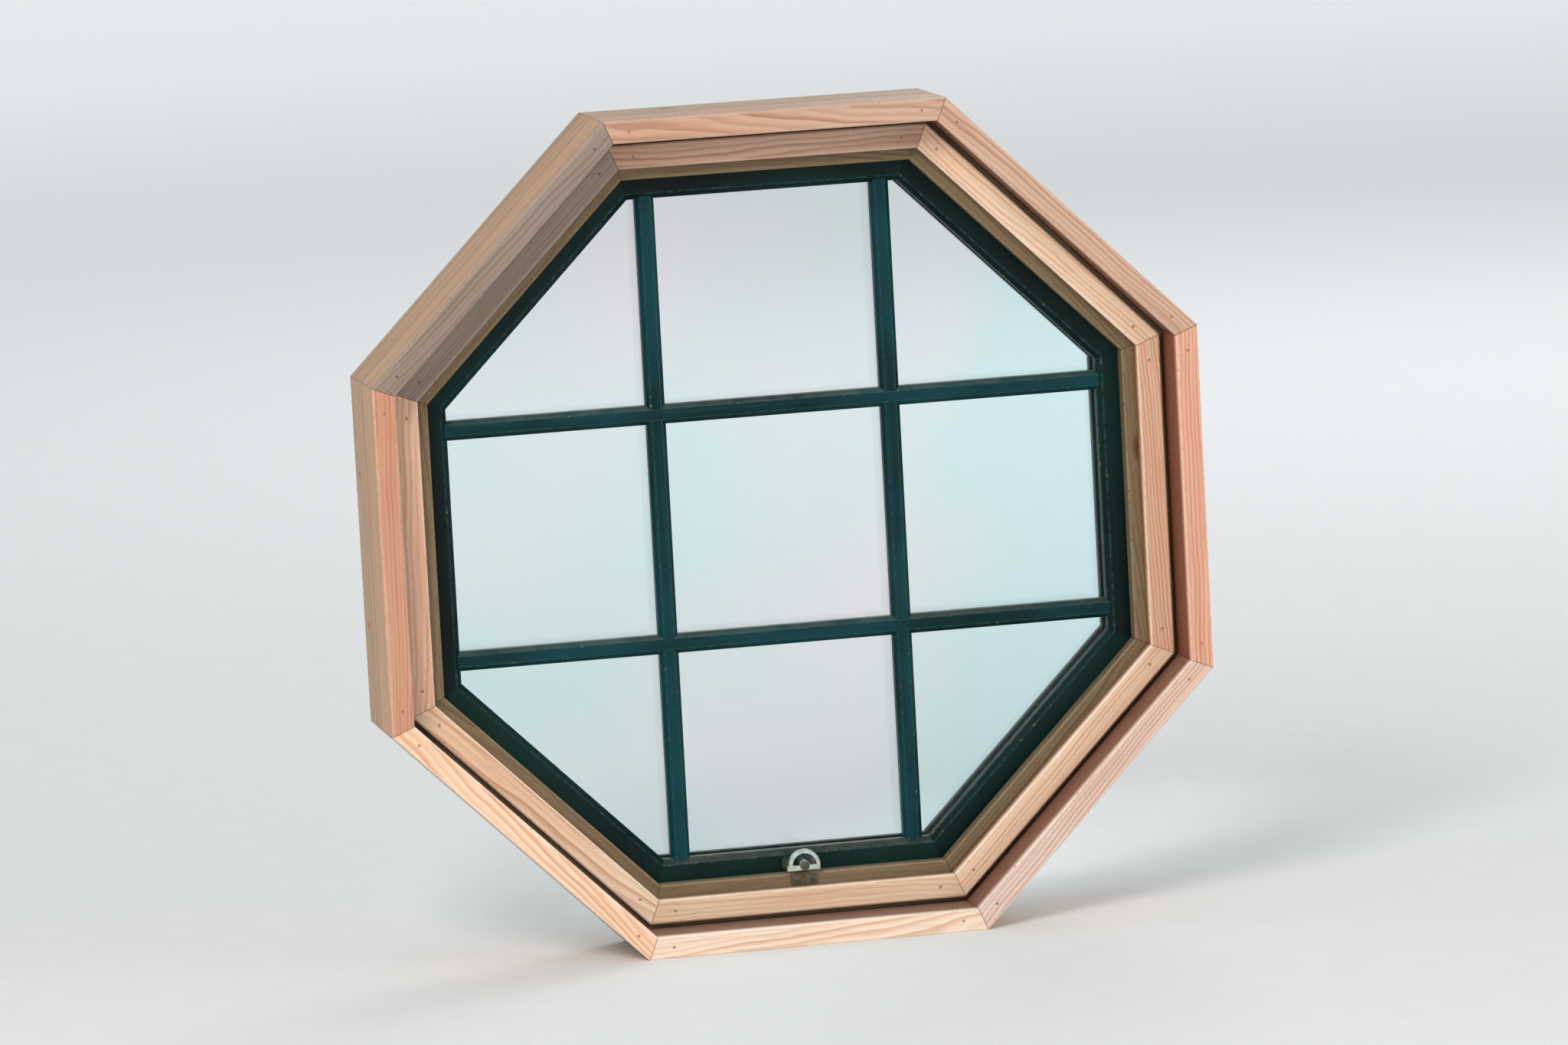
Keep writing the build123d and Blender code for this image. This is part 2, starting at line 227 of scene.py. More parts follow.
# Tones for single sides. The sunny and cream tones are paler with painted light, and the dusky tone darker
# with painted shade.
SUNNY_TONE = dict(PINE_TONE, pale=rgb(248, 219, 191), late=rgb(214, 160, 120), arris=rgb(253, 240, 222))
LIT_CREAM_TONE = dict(PINE_TONE, pale=rgb(246, 228, 209), late=rgb(218, 176, 140), arris=rgb(253, 244, 230))
STRAW_TONE = dict(PINE_TONE, pale=rgb(236, 209, 180), late=rgb(200, 152, 114), arris=rgb(248, 232, 208))
BLUSH_TONE = dict(PINE_TONE, pale=rgb(226, 203, 188), late=rgb(190, 150, 130), arris=rgb(248, 230, 216))
ROSY_TONE = dict(PINE_TONE, pale=rgb(229, 174, 148), late=rgb(186, 118, 88), arris=rgb(246, 212, 188))
RUDDY_TONE = dict(PINE_TONE, pale=rgb(208, 156, 128), late=rgb(166, 104, 74), arris=rgb(234, 194, 168))
SHADED_DUSKY_TONE = dict(PINE_TONE, pale=rgb(203, 170, 147), late=rgb(162, 116, 90), arris=rgb(226, 198, 174))
# The grey and ashen tones paint the shade on the upper-left boards, and their painted shade in the grooves
# is greyer too.
SHADED_GREY_TONE = dict(
    PINE_TONE,
    pale=rgb(146, 130, 119),
    late=rgb(114, 94, 82),
    blush=rgb(236, 228, 220),
    arris=rgb(178, 165, 154),
    painted_shade=rgb(100, 66, 46),
    filler=rgb(92, 74, 62),
)
SHADED_ASHEN_TONE = dict(SHADED_GREY_TONE, pale=rgb(162, 144, 130), late=rgb(128, 106, 92))
# The frame member's dark olive paints the shade on its stop face behind the liner, and it paints a weaker
# shade deeper in; the outer faces that the wall hides keep the raw colour.
SHADED_MEMBER_TONE = dict(
    PINE_TONE,
    pale=rgb(132, 112, 84),
    late=rgb(94, 74, 52),
    blush=rgb(232, 226, 204),
    deep=rgb(70, 54, 38),
    arris=rgb(152, 132, 104),
    painted_shade=rgb(112, 94, 70),
    raw=rgb(192, 151, 111),
    raw_late=rgb(152, 108, 72),
    painted_shade_share=0.25,
    raw_depth=36 * MM,
)

# Each side's boards have their own tone, as in the photograph.
# Across the sides these tones carry painted light and shade: the cream and sunny tones painted light, the
# dusky, grey and ashen tones painted shade.
JAMB_TONES = {
    "bottom": LIT_CREAM_TONE,
    "lower_right": BLUSH_TONE,
    "right": ROSY_TONE,
    "upper_right": SHADED_DUSKY_TONE,
    "top": SHADED_DUSKY_TONE,
    "upper_left": SHADED_GREY_TONE,
    "left": RUDDY_TONE,
    "lower_left": SUNNY_TONE,
}
LINER_TONES = {
    "bottom": STRAW_TONE,
    "lower_right": SUNNY_TONE,
    "right": PINE_TONE,
    "upper_right": SUNNY_TONE,
    "top": SHADED_DUSKY_TONE,
    "upper_left": SHADED_ASHEN_TONE,
    "left": PINE_TONE,
    "lower_left": STRAW_TONE,
}

# Paint: its full and its thin coat on the sash and on the bars, rubbed edges paler with wear and a painted
# highlight, chips, specks and joints.
SASH_GREENS = (rgb(6, 38, 33), rgb(2, 19, 17))
BAR_TEALS = (rgb(8, 60, 66), rgb(3, 34, 38))
PAINT_RUBBED_HIGHLIGHT = rgb(44, 84, 82)
PAINT_CHIP = rgb(150, 126, 100)
PAINT_SPECKS = rgb(96, 108, 102)
PAINT_SEAM = rgb(3, 8, 8)
RUBBER_BLACK = rgb(22, 22, 22)
RUBBER_GREY = rgb(64, 62, 58)

# Metals: bright, dull and stained colour, then the roughness where bright and where dull.
METALS = {
    "spacer_bar": (rgb(170, 174, 176), rgb(128, 132, 134), rgb(90, 92, 92), 0.35, 0.55),
    "hinge_zinc": (rgb(196, 196, 190), rgb(150, 150, 142), rgb(96, 88, 72), 0.28, 0.50),
    "screw_steel": (rgb(118, 112, 100), rgb(86, 80, 70), rgb(52, 44, 34), 0.32, 0.50),
    "catch_base_zinc": (rgb(84, 94, 88), rgb(58, 68, 62), rgb(36, 38, 32), 0.35, 0.55),
    "catch_lever_zinc": (rgb(220, 230, 220), rgb(182, 196, 184), rgb(120, 128, 112), 0.28, 0.44),
    "keeper_bronze": (rgb(122, 104, 78), rgb(96, 80, 58), rgb(58, 48, 34), 0.38, 0.58),
}

# Pieces of each metal.
METAL_PIECES = {
    "spacer_bar": ["glass_spacer"],
    "hinge_zinc": [
        "left_hinge_frame_leaf",
        "left_hinge_sash_leaf",
        "right_hinge_frame_leaf",
        "right_hinge_sash_leaf",
    ],
    "screw_steel": ["left_hinge_pin", "right_hinge_pin", "frame_screws", "sash_screws", "latch_spindle"],
    "catch_base_zinc": ["latch_base"],
    "catch_lever_zinc": ["latch_lever"],
    "keeper_bronze": ["latch_keeper"],
}


def radius_span(ring):
    """Inner and outer half width across the flats of a ring of eight pieces."""
    low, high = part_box(f"{ring}_bottom")
    return CENTRE - high.z, CENTRE - low.z


def depth_span(ring):
    """Room face and outside face of a ring of eight pieces, along Y."""
    low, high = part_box(f"{ring}_bottom")
    return low.y, high.y


class Look:
    """One material, with short calls that add nodes and join their sockets.

    Patterns run from 0 to 1, so the two limits that ramp has for one are shares of that.
    """

    def __init__(self, name):
        self.material = bpy.data.materials.new(name)
        self.material.use_nodes = True
        self.tree = self.material.node_tree
        self.tree.nodes.clear()
        self.output = self.tree.nodes.new("ShaderNodeOutputMaterial")
        self.where = self.tree.nodes.new("ShaderNodeTexCoord").outputs["Object"]

    def feed(self, socket, value):
        """A socket takes a number, a colour or another node's output."""
        if isinstance(value, bpy.types.NodeSocket):
            self.tree.links.new(value, socket)
        elif value is not None:
            socket.default_value = value

    def maths(self, operation, a, b=None):
        node = self.tree.nodes.new("ShaderNodeMath")
        node.operation = operation
        self.feed(node.inputs[0], a)
        self.feed(node.inputs[1], b)
        return node.outputs[0]

    def total(self, *values):
        result = values[0]
        for value in values[1:]:
            result = self.maths("ADD", result, value)
        return result

    def less(self, a, b):
        return self.maths("SUBTRACT", a, b)

    def times(self, a, b):
        return self.maths("MULTIPLY", a, b)

    def distance(self, a, b):
        """Length of a step that goes this far in two square directions."""
        return self.maths("SQRT", self.total(self.times(a, a), self.times(b, b)))

    def ramp(self, value, low, high, to_low=0.0, to_high=1.0, smooth=True):
        """The value carried from one span to another, held at the ends."""
        node = self.tree.nodes.new("ShaderNodeMapRange")
        node.interpolation_type = "SMOOTHSTEP" if smooth else "LINEAR"
        self.feed(node.inputs["Value"], value)
        spans = {"From Min": low, "From Max": high, "To Min": to_low, "To Max": to_high}
        for key, number in spans.items():
            self.feed(node.inputs[key], number)
        return node.outputs["Result"]

    def axes(self, vector):
        node = self.tree.nodes.new("ShaderNodeSeparateXYZ")
        self.feed(node.inputs[0], vector)
        return node.outputs

    def vector(self, x, y, z):
        node = self.tree.nodes.new("ShaderNodeCombineXYZ")
        for socket, value in zip(node.inputs, (x, y, z)):
            self.feed(socket, value)
        return node.outputs[0]

    def mapped(self, vector, turn=0.0, shift=(0, 0, 0), scale=(1, 1, 1)):
        """The vector scaled, turned about Y and then shifted."""
        node = self.tree.nodes.new("ShaderNodeMapping")
        self.feed(node.inputs["Vector"], vector)
        node.inputs["Rotation"].default_value = (0, turn, 0)
        node.inputs["Location"].default_value = shift
        node.inputs["Scale"].default_value = scale
        return node.outputs[0]

    def noise(self, vector, scale, detail, rough=0.5):
        """Cloudy pattern, equally fine in every direction."""
        node = self.tree.nodes.new("ShaderNodeTexNoise")
        self.feed(node.inputs["Vector"], vector)
        node.inputs["Scale"].default_value = scale
        node.inputs["Detail"].default_value = detail
        node.inputs["Roughness"].default_value = rough
        return node.outputs["Fac"]

    def stretched(self, vector, scale, detail, rough=0.5):
        """Cloudy pattern with its own fineness along each axis."""
        return self.noise(self.mapped(vector, scale=scale), 1.0, detail, rough)

    def cells(self, vector, scale):
        """Distance to the nearest scattered point, and a random value for it."""
        node = self.tree.nodes.new("ShaderNodeTexVoronoi")
        self.feed(node.inputs["Vector"], vector)
        node.inputs["Scale"].default_value = scale
        return node.outputs["Distance"], node.outputs["Color"]

    def mix(self, share, a, b, blend="MIX"):
        node = self.tree.nodes.new("ShaderNodeMix")
        node.data_type = "RGBA"
        node.blend_type = blend
        node.clamp_factor = True
        self.feed(node.inputs["Factor"], share)
        self.feed(node.inputs[6], a)
        self.feed(node.inputs[7], b)
        return node.outputs[2]

    def covered(self, colour, layers):
        """The colour under layers, each with the share that it hides and its own colour."""
        for share, over in layers:
            colour = self.mix(share, colour, over)
        return colour

    def bump(self, height, distance, strength):
        node = self.tree.nodes.new("ShaderNodeBump")
        node.inputs["Strength"].default_value = strength
        node.inputs["Distance"].default_value = distance
        self.feed(node.inputs["Height"], height)
        return node.outputs[0]

    def shader(self, colour, roughness, normal=None, **values):
        """Main shader. The named values are set on its own sockets."""
        node = self.tree.nodes.new("ShaderNodeBsdfPrincipled")
        self.feed(node.inputs["Base Color"], colour)
        self.feed(node.inputs["Roughness"], roughness)
        self.feed(node.inputs["Normal"], normal)
        for key, value in values.items():
            self.feed(node.inputs[key.replace("_", " ")], value)
        return node.outputs[0]

    def surface(self, shader):
        """The finished material, with this shader on its surface."""
        self.feed(self.output.inputs["Surface"], shader)
        return self.material


def side_frame(look, index):
    """Coordinates of one side as if it were the bottom one: along it, depth, and out from the centre."""
    turn = SIDE_TURN * index
    back = Matrix.Rotation(turn, 3, "Y") @ Vector((0, 0, -CENTRE))
    along, depth, up = look.axes(look.mapped(look.where, turn=turn, shift=back))
    return along, depth, look.times(up, -1.0)


def mitre_line(look, along, out, width):
    """1 on the hairline where a side meets its neighbour, 0 elsewhere."""
    slant = look.maths("ABSOLUTE", look.times(along, math.cos(HALF_MITRE)))
    gap = look.less(look.times(out, math.sin(HALF_MITRE)), slant)
    return look.ramp(gap, 0.0, width, 1.0, 0.0)


def near(look, value, place, core, reach):
    """1 where the value is within the core of a place, falling to 0 at the reach."""
    return look.ramp(look.maths("ABSOLUTE", look.less(value, place)), core, reach, 1.0, 0.0)


def near_edges(look, out, depth, edges, reach):
    """1 along the edges of a section, each given as how far out it is and its place along Y."""
    result = 0.0
    for edge_out, edge_depth in edges:
        beside = near(look, out, edge_out, EDGE_CORE, reach)
        level = near(look, depth, edge_depth, EDGE_CORE, reach)
        result = look.maths("MAXIMUM", result, look.times(beside, level))
    return result


def brad_spots(look, along, out, brads):
    """1 inside round holes near both ends of a side, each given by its places along it and out."""
    result = 0.0
    for brad_along, brad_out in brads:
        beside = look.less(look.maths("ABSOLUTE", along), brad_along)
        reach = look.distance(beside, look.less(out, brad_out))
        inside = look.ramp(reach, BRAD_CORE * BRAD_RADIUS, BRAD_RADIUS, 1.0, 0.0)
        result = look.maths("MAXIMUM", result, inside)
    return result


def settled_dust(look, place, most):
    """Thin dust on faces that look up. It keeps to the piece, whose own normal it goes by."""
    normal = look.tree.nodes.new("ShaderNodeTexCoord").outputs["Normal"]
    facing_up = look.ramp(look.axes(normal)[2], *DUST_UPWARD)
    patches = look.ramp(look.noise(place, DUST_PATCH, detail=4.0, rough=0.65), 0.3, 0.65, 0.35, 1.0)
    return look.times(look.times(facing_up, patches), most)


class Pine(Look):
    """Oiled pine of one piece of a ring, its grain along the side."""

    def __init__(self, name, index, ring, tone, dice, brads=()):
        super().__init__(name)
        self.tone = tone
        self.along, self.depth, self.out = side_frame(self, index)
        self.inner, self.outer = radius_span(ring)
        self.front, _ = depth_span(ring)
        self.behind_front = self.less(self.depth, self.front)
        self.draw(dice)
        self.place = self.vector(self.total(self.along, self.start), self.depth, self.out)
        self.knot = self.knots()
        self.late = self.late_wood()
        self.fibre = self.stretched(self.place, WOOD_FIBRE, detail=3.0, rough=0.6)
        self.duct = self.stretched(self.place, RESIN_DUCT, detail=1.0)
        # Painted shade: brown deep in the grooves and reveals.
        self.painted_shade = self.painted_depth_shade()
        self.dust = settled_dust(self, self.place, WOOD_DUST)
        self.joint = mitre_line(self, self.along, self.out, WOOD_JOINT)
        self.rubbed, self.bruised = self.worn_highlit_arrises()
        self.filled = self.filled_holes(brads)

    def draw(self, dice):
        """Draws the board's place in its log, its knots, its rings and how light it is."""
        self.start = dice.uniform(0, START_SPAN)
        aside = dice.choice((-1, 1)) * dice.uniform(*PITH_ASIDE) * MM
        behind = dice.uniform(*PITH_BEHIND) * MM
        self.pith = ((self.inner + self.outer) / 2 + aside, self.front - behind)
        self.lean = (dice.uniform(*LOG_LEAN), dice.uniform(*LOG_LEAN))
        self.knot_shift = (self.start, dice.random(), dice.random())
        self.ring_spacing = dice.uniform(*RING_SPACING) * MM
        self.lightness = dice.uniform(*BOARD_LIGHTNESS)

    def knots(self):
        """Nearness to small knots, 1 at their middles. About one cell in six has one."""
        along, depth = self.times(self.along, KNOT_ALONG), self.times(self.depth, KNOT_THROUGH)
        place = self.vector(along, depth, self.out)
        distance, chance = self.cells(self.mapped(place, shift=self.knot_shift), KNOT_CELL)
        one_in_six = self.ramp(self.axes(chance)[0], 0.84, 0.85)
        return self.times(self.ramp(distance, 0.02, 0.24, 1.0, 0.0), one_in_six)

    def from_pith(self, value, axis):
        """How far the value is from the leaning pith line. Axis 0 is out and 1 is depth."""
        return self.less(value, self.total(self.times(self.along, self.lean[axis]), self.pith[axis]))

    def late_wood(self):
        """How late the wood is in its year, 0 to 1, in rings round the pith line."""
        place = self.vector(self.along, self.depth, self.out)
        drift = self.stretched(place, RING_DRIFT, detail=2.0)
        wobble = self.stretched(place, RING_WOBBLE, detail=2.0)
        reach = self.distance(self.from_pith(self.out, 0), self.from_pith(self.depth, 1))
        years = self.total(
            self.times(reach, 1 / self.ring_spacing),
            self.times(drift, DRIFT_YEARS),
            self.times(wobble, WOBBLE_YEARS),
            self.times(self.knot, KNOT_YEARS),
        )
        season, year = self.maths("FRACT", years), self.maths("FLOOR", years)
        chance = self.noise(self.vector(year, 0.0, self.pith[0] * PITH_STRETCH), RING_STRENGTH, detail=0.0)
        late = self.times(self.ramp(season, 0.25, 0.88), self.ramp(season, 0.93, 1.0, 1.0, 0.0))
        return self.times(late, self.ramp(chance, 0.3, 0.7, 0.3, 1.0))

    def painted_depth_shade(self):
        """Painted shade: how much browner the faces towards the centre get behind the front, deep in the
        grooves and reveals.
        """
        low, high = (self.inner + step for step in PAINTED_SHADE_INSIDE)
        inside = self.ramp(self.out, low, high, self.tone["painted_shade_share"], 0.0)
        return self.times(self.ramp(self.behind_front, *PAINTED_SHADE_BEHIND), inside)

    def worn_highlit_arrises(self):
        """How far the front arrises are rubbed, paler with wear and a painted highlight, and how far they
        are bruised.
        """
        edges = [(self.inner, self.front), (self.outer, self.front)]
        knock = self.noise(self.place, WOOD_KNOCK, detail=3.0, rough=0.6)
        rubbed = near_edges(self, self.out, self.depth, edges, RUBBED_HIGHLIT_WOOD)
        bruised = near_edges(self, self.out, self.depth, edges, BRUISED_WOOD)
        return (
            self.times(rubbed, self.ramp(knock, 0.3, 0.55, 0.4, 1.0)),
            self.times(bruised, self.ramp(knock, 0.62, 0.7)),
        )

    def filled_holes(self, brads):
        """1 on the filler of the brad holes in the front."""
        at_front = near(self, self.depth, self.front, *BRAD_DEPTH)
        return self.times(brad_spots(self, self.along, self.out, brads), at_front)

    def raw_wood(self):
        """1 on the outer faces that the wall hides, which weren't oiled."""
        edge = self.outer - self.tone["raw_depth"]
        beyond = self.ramp(self.out, edge, edge + RAW_BORDER)
        return self.times(beyond, self.ramp(self.behind_front, *RAW_BEHIND))

    def clean_colour(self):
        """Colour before wear: rings, warm clouds, streaks, fibres, resin ducts and knots."""
        tone = self.tone
        raw = self.raw_wood()
        pale = self.mix(raw, shaded(tone["pale"], self.lightness), tone["raw"])
        late = self.mix(raw, tone["late"], tone["raw_late"])
        colour = self.mix(self.times(self.late, 0.8), pale, late)
        cloud = self.ramp(self.stretched(self.place, WOOD_CLOUD, detail=3.0), 0.35, 0.7, 0.0, 0.55)
        colour = self.mix(cloud, colour, tone["blush"], "MULTIPLY")
        streak = self.stretched(self.place, WOOD_STREAK, detail=2.0)
        return self.covered(colour, (
            (self.ramp(streak, 0.45, 0.75, 0.0, 0.4), tone["late"]),
            (self.ramp(self.fibre, 0.5, 0.8, 0.0, 0.35), tone["deep"]),
            (self.ramp(self.duct, 0.66, 0.74, 0.0, 0.5), tone["deep"]),
            (self.ramp(self.knot, 0.3, 0.85, 0.0, 0.85), tone["knot"]),
        ))

    def aged_colour(self):
        """Colour with wear and a painted highlight on the arrises, painted shade in the grooves, dust,
        joints and filler.
        """
        tone = self.tone
        return self.covered(self.clean_colour(), (
            # Rubbed arrises: paler partly with wear and partly as a painted highlight.
            (self.times(self.rubbed, 0.65), tone["arris"]),
            (self.times(self.bruised, 0.6), tone["deep"]),
            # Painted shade: brown deep in the grooves and reveals, where shade falls.
            (self.painted_shade, tone["painted_shade"]),
            (self.dust, DUST),
            (self.times(self.joint, 0.8), tone["joint"]),
            (self.times(self.filled, 0.75), tone["filler"]),
        ))

    def roughness(self):
        """Late wood is smoother; rubbed, dusty and filled wood, and wood under the painted shade, is
        rougher.
        """
        return self.total(
            self.ramp(self.fibre, 0.3, 0.8, 0.38, 0.54),
            self.times(self.late, -0.07),
            self.times(self.rubbed, 0.12),
            self.times(self.dust, 0.5),
            self.times(self.filled, 0.2),
            self.times(self.painted_shade, 0.2),
        )

    def relief(self):
        """Late wood and fibres stand up; joints, bruises and filler lie lower."""
        return self.total(
            self.times(self.late, 0.5),
            self.times(self.fibre, 0.45),
            self.times(self.duct, 0.25),
            self.times(self.joint, -1.5),
            self.times(self.bruised, -1.0),
            self.times(self.filled, -0.8),
        )

    def finished(self):
        """The material of the board."""
        return self.surface(self.shader(
            self.aged_colour(),
            self.roughness(),
            self.bump(self.relief(), WOOD_RELIEF, 0.7),
            Specular_IOR_Level=PINE_GLOSS,
            Coat_Weight=PINE_OIL,
            Coat_Roughness=PINE_OIL_ROUGHNESS,
        ))


def painted(look, places, edges, coats, dice, joint=0.0):
    """Dark satin paint on wood, brushed along the piece, with its edges rubbed to a paler teal, part wear
    and part painted highlight.
    """
    along, depth, out = places
    full, thin = coats
    place = look.vector(look.total(along, dice.uniform(0, START_SPAN)), depth, out)
    brush = look.stretched(place, BRUSH_MARK, detail=3.0, rough=0.6)
    ripple = look.stretched(place, PAINT_RIPPLE, detail=2.0)
    cloud = look.stretched(place, PAINT_CLOUD, detail=3.0)
    speck = look.noise(place, PAINT_SPECK, detail=2.0, rough=0.7)
    knock = look.noise(place, PAINT_KNOCK, detail=3.0, rough=0.6)
    rubbed = near_edges(look, out, depth, edges, RUBBED_HIGHLIT_PAINT)
    rubbed = look.times(rubbed, look.ramp(knock, 0.38, 0.62, 0.15, 1.0))
    chipped = near_edges(look, out, depth, edges, CHIPPED_PAINT)
    chipped = look.times(chipped, look.ramp(knock, 0.67, 0.7))
    dust = settled_dust(look, place, PAINT_DUST)
    colour = look.covered(look.mix(look.ramp(cloud, 0.35, 0.65), thin, full), (
        (look.ramp(brush, 0.5, 0.8, 0.0, 0.35), shaded(full, BRUSH_LIGHTER)),
        (look.ramp(speck, 0.66, 0.8, 0.0, 0.3), PAINT_SPECKS),
        # Rubbed edges: paler teal, part wear and part painted highlight.
        (look.times(rubbed, 0.5), PAINT_RUBBED_HIGHLIGHT),
        (chipped, PAINT_CHIP),
        (dust, DUST),
        (look.times(joint, 0.7), PAINT_SEAM),
    ))
    rough = look.total(
        look.ramp(brush, 0.3, 0.75, 0.34, 0.50),
        look.ramp(speck, 0.55, 0.8, 0.0, 0.15),
        look.times(dust, 0.8),
    )
    relief = look.total(
        brush,
        look.times(ripple, 0.9),
        look.times(joint, -1.2),
        look.times(chipped, -1.5),
    )
    normal = look.bump(relief, PAINT_RELIEF, 0.55)
    return look.surface(look.shader(colour, rough, normal, Specular_IOR_Level=PAINT_GLOSS))


def side_paint(name, index, edges, dice):
    """Paint of one side of the sash."""
    look = Look(name)
    along, depth, out = side_frame(look, index)
    joint = mitre_line(look, along, out, PAINT_JOINT)
    return painted(look, (along, depth, out), edges, SASH_GREENS, dice, joint)


def bar_paint(name, upright, edges, dice):
    """Paint of a glazing bar, brushed upwards on an upright bar and sideways on a level one."""
    look = Look(name)
    x, y, z = look.axes(look.where)
    raised = look.less(z, CENTRE)
    places = (raised, y, x) if upright else (x, y, raised)
    return painted(look, places, edges, BAR_TEALS, dice)


def glass(name, shift):
    """Clear float glass, faintly rosy or cool, and cooler on the right. Lamps shine through it."""
    look = Look(name)
    drift = look.noise(look.mapped(look.where, shift=(shift, 0, shift)), GLASS_DRIFT, detail=1.0)
    rightward = look.ramp(look.axes(look.where)[0], *COOLER_BETWEEN, 0.0, COOLER_BY)
    tint = look.mix(look.ramp(look.less(drift, rightward), 0.36, 0.60), COOL_GLASS, ROSY_GLASS)
    wipe = look.noise(look.mapped(look.where, turn=WIPE_TURN, scale=GLASS_WIPE), 1.0, detail=4.0)
    rough = look.ramp(wipe, 0.45, 0.8, 0.0, 0.035)
    ripple = look.bump(look.noise(look.where, GLASS_RIPPLE, detail=1.0), GLASS_RELIEF, 0.3)
    clear = look.shader(tint, rough, ripple, Transmission_Weight=1.0, IOR=GLASS_IOR)
    through = look.tree.nodes.new("ShaderNodeBsdfTransparent")
    look.feed(through.inputs["Color"], GLASS_SHADOW)
    lamp = look.tree.nodes.new("ShaderNodeLightPath").outputs["Is Shadow Ray"]
    either = look.tree.nodes.new("ShaderNodeMixShader")
    for socket, value in zip(either.inputs, (lamp, clear, through.outputs[0])):
        look.feed(socket, value)
    return look.surface(either.outputs[0])


def metal(name):
    """Plated metal with fine brushed lines, dull blooms and stains."""
    bright, dull, stain, rough_bright, rough_dull = METALS[name]
    look = Look(name)
    brushed = look.stretched(look.where, METAL_LINE, detail=3.0)
    bloom = look.noise(look.where, METAL_BLOOM, detail=4.0, rough=0.6)
    marks = look.noise(look.where, METAL_MARK, detail=2.0)
    colour = look.covered(bright, (
        (look.ramp(bloom, 0.35, 0.65), dull),
        (look.ramp(marks, 0.62, 0.75, 0.0, 0.6), stain),
    ))
    rough = look.total(
        look.ramp(bloom, 0.35, 0.7, rough_bright, rough_dull),
        look.ramp(marks, 0.6, 0.8, 0.0, 0.2),
    )
    normal = look.bump(look.total(brushed, look.times(marks, 0.5)), METAL_RELIEF, 0.5)
    return look.surface(look.shader(colour, rough, normal, Metallic=1.0))


def rubber(name):
    """Matt black rubber with a dusty bloom."""
    look = Look(name)
    bloom = look.noise(look.where, RUBBER_BLOOM, detail=4.0, rough=0.6)
    speck = look.noise(look.where, RUBBER_SPECK, detail=2.0)
    colour = look.mix(look.ramp(bloom, 0.4, 0.75, 0.0, 0.5), RUBBER_BLACK, RUBBER_GREY)
    rough = look.ramp(speck, 0.3, 0.7, 0.6, 0.85)
    return look.surface(look.shader(colour, rough, look.bump(speck, RUBBER_RELIEF, 0.6)))


def dress(node, material):
    """The named piece takes one material."""
    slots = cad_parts[node].data.materials
    slots.clear()
    slots.append(material)


def brad_places(ring):
    """Filled brad holes near both ends of a side, on the middle line of its face."""
    inner, outer = radius_span(ring)
    middle = (inner + outer) / 2
    return [(middle * math.tan(HALF_MITRE) - BRAD_INSET, middle)]


def dress_rings():
    """Each side has its own material, because its grain runs its own way."""
    dice = random.Random(SEED)
    rail_in, _ = radius_span("sash_rail")
    rail_front, _ = depth_span("sash_rail")
    bead_in, _ = radius_span("glazing_bead")
    _, bead_back = depth_span("glazing_bead")
    rail_edges = [(rail_in + SASH_BEVEL, rail_front), (rail_in, rail_front + SASH_BEVEL)]
    bead_edges = [(bead_in + BEAD_BEVEL, bead_back), (bead_in, bead_back - BEAD_BEVEL)]
    for index, side in enumerate(SIDE_NAMES):
        for ring, tones in (("jamb_board", JAMB_TONES), ("liner", LINER_TONES)):
            board = Pine(f"{ring}_pine_{side}", index, ring, tones[side], dice, brad_places(ring))
            dress(f"{ring}_{side}", board.finished())
        member = Pine(f"member_pine_{side}", index, "frame_member", SHADED_MEMBER_TONE, dice)
        dress(f"frame_member_{side}", member.finished())
        dress(f"sash_rail_{side}", side_paint(f"sash_paint_{side}", index, rail_edges, dice))
        dress(f"glazing_bead_{side}", side_paint(f"bead_paint_{side}", index, bead_edges, dice))


def dress_bars():
    """Each glazing bar has its own paint, rubbed along its two front edges to a paler teal, part wear and
    part painted highlight.
    """
    dice = random.Random(SEED + 1)
    for node in ("left_bar", "right_bar", "upper_bar", "lower_bar"):
        upright = node in ("left_bar", "right_bar")
        low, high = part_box(node)
        sides = (low.x, high.x) if upright else (low.z - CENTRE, high.z - CENTRE)
        edges = [(sides[0] + BAR_BEVEL, low.y), (sides[1] - BAR_BEVEL, low.y)]
        dress(node, bar_paint(f"{node}_paint", upright, edges, dice))


def dress_fittings():
    """Glass, seal, hinges, screws and the catch."""
    for pane, shift in TINT_SHIFT.items():
        dress(f"{pane}_pane", glass(f"{pane}_glass", shift))
    dress("weatherstrip", rubber("seal_rubber"))
    for name, pieces in METAL_PIECES.items():
        plated = metal(name)
        for node in pieces:
            dress(node, plated)


def studio_material():
    """Plain pale surface, lifted where the lamps don't reach."""
    look = Look("studio_pale")
    grain = look.noise(look.where, STUDIO_GRAIN, detail=2.0)
    x, y, _ = look.axes(look.where)
    colour = look.mix(look.ramp(grain, 0.3, 0.7), STUDIO_PALE, shaded(STUDIO_PALE, GRAIN_DARKER))
    glow = look.ramp(look.distance(x, y), 0.0, GLOW_END, 0.0, GLOW, smooth=False)
    lit = look.shader(colour, STUDIO_ROUGHNESS, Emission_Color=GLOW_COLOUR, Emission_Strength=glow)
    return look.surface(lit)


def studio_profile():
    """Distance from the middle and height of each ring of points, from the floor to the wall's top."""
    profile = [(FLOOR_RADIUS * step / FLOOR_RINGS, 0.0) for step in range(1, FLOOR_RINGS + 1)]
    for step in range(1, BEND_STEPS + 1):
        turn = math.pi / 2 * step / BEND_STEPS
        reach = FLOOR_RADIUS + BEND_RADIUS * math.sin(turn)
        profile.append((reach, BEND_RADIUS - BEND_RADIUS * math.cos(turn)))
    profile.append((FLOOR_RADIUS + BEND_RADIUS, WALL_TOP))
    return profile


